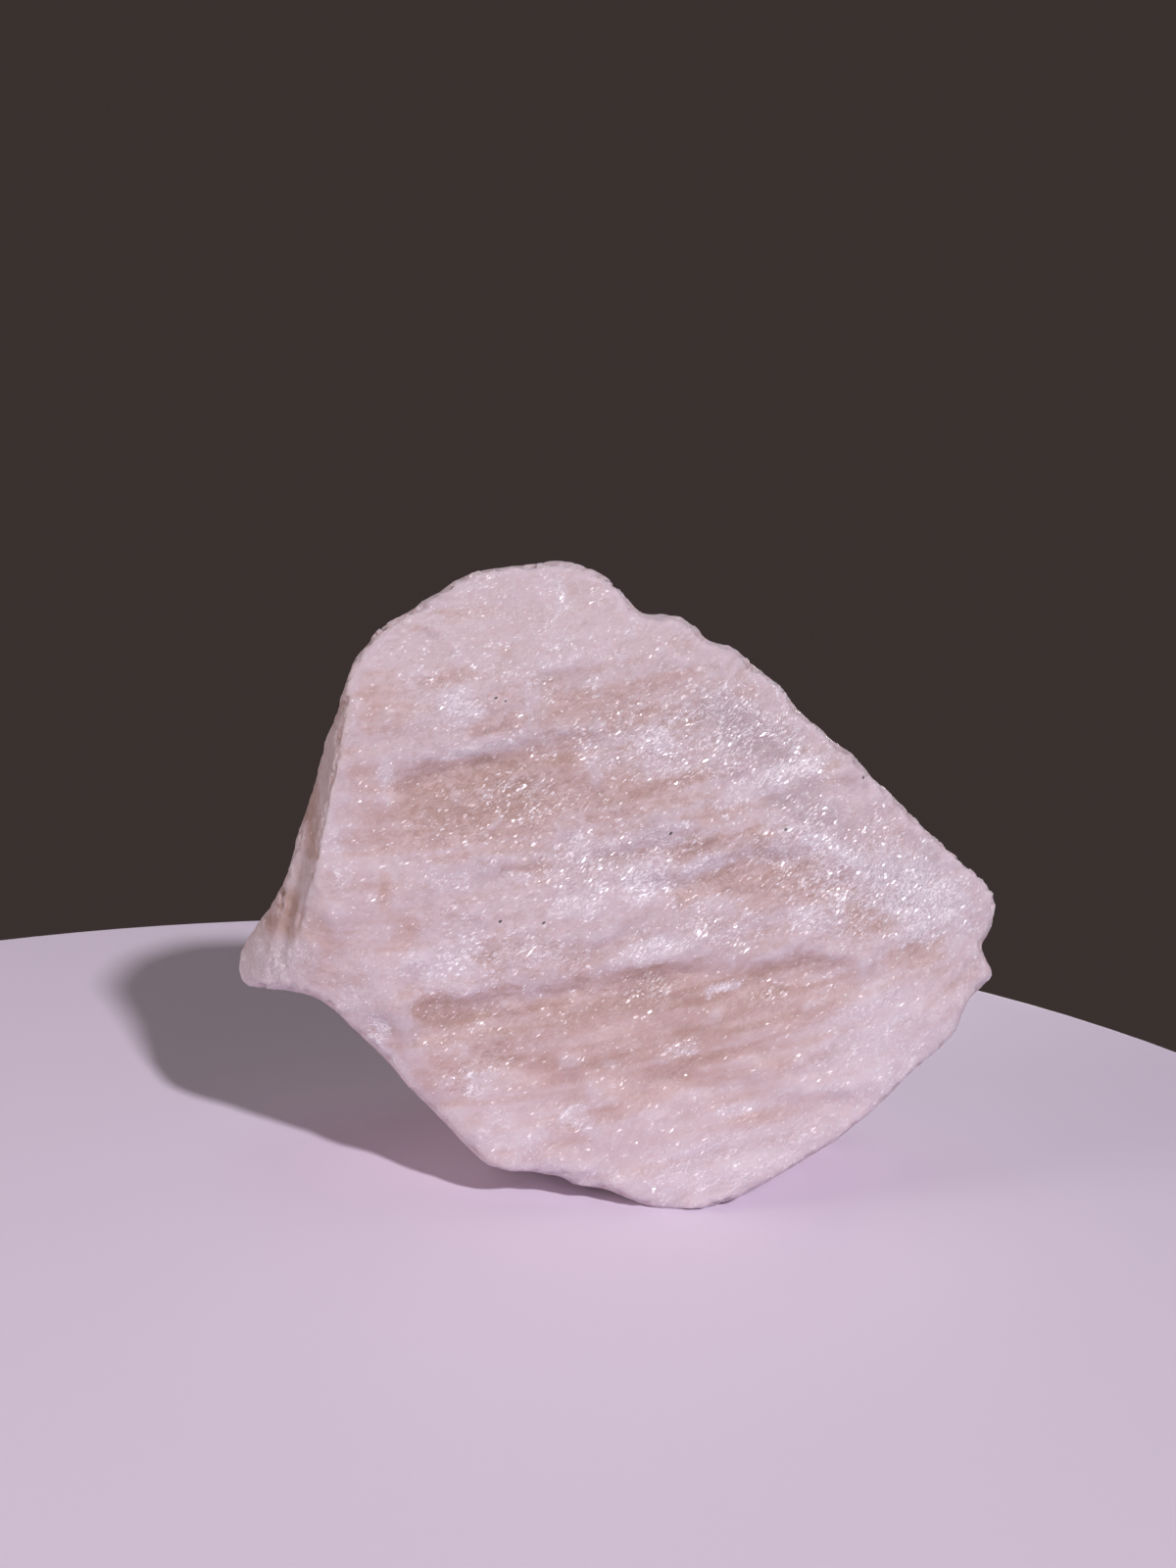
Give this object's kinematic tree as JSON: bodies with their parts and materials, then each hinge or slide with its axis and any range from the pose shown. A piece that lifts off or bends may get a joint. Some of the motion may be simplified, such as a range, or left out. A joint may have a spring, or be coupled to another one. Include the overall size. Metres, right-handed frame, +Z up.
{
  "type": "raw morganite crystal",
  "caption": "Rough broken piece of cloudy pink beryl with a broad uneven front face and a blunt toe at one side, standing on a small flat under its lower edge.",
  "frame": {"origin": "middle of the small resting flat under the stone's lower edge, on the surface that it stands on", "axes": "+X runs along the stone's long side towards its pointed right end, -Y is the way the broad front face looks, +Z is up"},
  "size_m": [0.0824, 0.0371, 0.0645],
  "materials": {
    "morganite": "cloudy, half translucent broken crystal with a frosted satin lustre and small glints"
  },
  "bodies": {
    "root": {"morganite": "morganite"}
  },
  "joints": []
}
